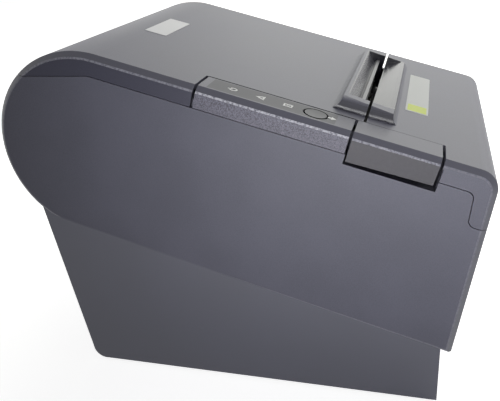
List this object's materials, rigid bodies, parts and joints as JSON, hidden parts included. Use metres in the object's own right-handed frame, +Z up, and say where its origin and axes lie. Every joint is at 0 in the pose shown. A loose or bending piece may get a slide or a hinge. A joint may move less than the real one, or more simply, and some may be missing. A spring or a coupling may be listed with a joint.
{
  "type": "receipt printer",
  "caption": "Countertop thermal receipt printer with hinged top cover, release lever, feed button, paper well, platen drive and cutter in a sloped dark case.",
  "frame": {"origin": "middle of the footprint, on the surface the feet stand on", "axes": "-Y to the front, +Z up, +X to the printer's left as seen from behind it, so the control strip lies on the -X side"},
  "size_m": [0.142, 0.198, 0.147],
  "materials": {
    "case": "fine moulded texture, dark blue grey",
    "overlay_film": "smooth satin film",
    "inner_plastic": "moulded, black",
    "acetal": "moulded, natural white",
    "rubber": "matt",
    "steel": "bright rolled sheet",
    "aluminium": "milled",
    "ceramic": "glazed ceramic strip",
    "circuit_board": "solder mask",
    "socket_plastic": "moulded, black",
    "socket_shell": "bright tinned",
    "clear_plastic": "clear"
  },
  "bodies": {
    "chassis": {"base_tray": "case", "board_screws": "steel", "case_screws": "steel", "control_panel": "case", "cutter_motor": "steel", "data_socket": "socket_shell", "drawer_socket": "socket_plastic", "feed_motor": "steel", "front_cover": "case", "head_carrier": "aluminium", "hinge_pins": "steel", "idler_stud": "steel", "lever_pin": "steel", "light_guides": "clear_plastic", "main_board": "circuit_board", "main_housing": "case", "mechanism_frame": "steel", "network_socket": "socket_shell", "panel_board": "circuit_board", "panel_overlay": "overlay_film", "paper_well": "inner_plastic", "power_socket": "socket_plastic", "print_head": "ceramic", "rubber_feet": "rubber"},
    "lid": {"top_cover": "case", "platen_holder": "inner_plastic", "platen_bushes": "acetal", "fixed_blade": "steel", "tear_bar": "steel"},
    "platen": {"platen_rubber": "rubber", "platen_shaft": "steel", "platen_gear": "acetal"},
    "idler": {"idler_gear": "acetal"},
    "feed_pinion": {"motor_pinion": "acetal"},
    "lever": {"release_lever": "case"},
    "button": {"feed_button": "case"},
    "blade": {"moving_blade": "steel", "blade_rack": "acetal"},
    "cutter": {"cutter_shaft": "steel", "cutter_gear": "acetal"},
    "cutter_pinion": {"drive_pinion": "steel"}
  },
  "joints": [
    {"name": "lid_hinge", "type": "hinge", "parent": "chassis", "child": "lid", "pos_m": [0, 0.08535, 0.13764], "axis": [-1, 0, 0], "range_deg": [0, 95]},
    {"name": "lever_lift", "type": "hinge", "parent": "chassis", "child": "lever", "pos_m": [-0.062, -0.04966, 0.11276], "axis": [-1, 0, 0], "range_deg": [0, 12], "stiffness_Nm_per_rad": 0.3},
    {"name": "feed_press", "type": "slide", "parent": "chassis", "child": "button", "axis": [0, 0.2756, -0.9613], "range_m": [0, 0.0012], "stiffness_N_per_m": 800},
    {"name": "platen_spin", "type": "hinge", "parent": "lid", "child": "platen", "pos_m": [0, -0.0371, 0.102], "axis": [1, 0, 0], "continuous": true},
    {"name": "idler_spin", "type": "hinge", "parent": "chassis", "child": "idler", "pos_m": [0.052, -0.03574, 0.08817], "axis": [1, 0, 0], "continuous": true},
    {"name": "pinion_spin", "type": "hinge", "parent": "chassis", "child": "feed_pinion", "pos_m": [0.055, -0.04228, 0.07324], "axis": [1, 0, 0], "continuous": true},
    {"name": "blade_slide", "type": "slide", "parent": "chassis", "child": "blade", "axis": [0, 0.9613, 0.2756], "range_m": [0, 0.0034]},
    {"name": "cutter_turn", "type": "hinge", "parent": "chassis", "child": "cutter", "pos_m": [0, -0.06534, 0.09526], "axis": [1, 0, 0], "range_deg": [-50, 5]},
    {"name": "cutter_pinion_turn", "type": "hinge", "parent": "chassis", "child": "cutter_pinion", "pos_m": [0.047, -0.06499, 0.08316], "axis": [1, 0, 0], "range_deg": [-15, 150]}
  ],
  "couplings": [
    {"joint": "idler_spin", "follows": "platen_spin", "ratio": -1.875},
    {"joint": "pinion_spin", "follows": "platen_spin", "ratio": 5.3571},
    {"joint": "cutter_turn", "follows": "blade_slide", "rad_per_m": -208.33},
    {"joint": "cutter_pinion_turn", "follows": "blade_slide", "rad_per_m": 625}
  ]
}
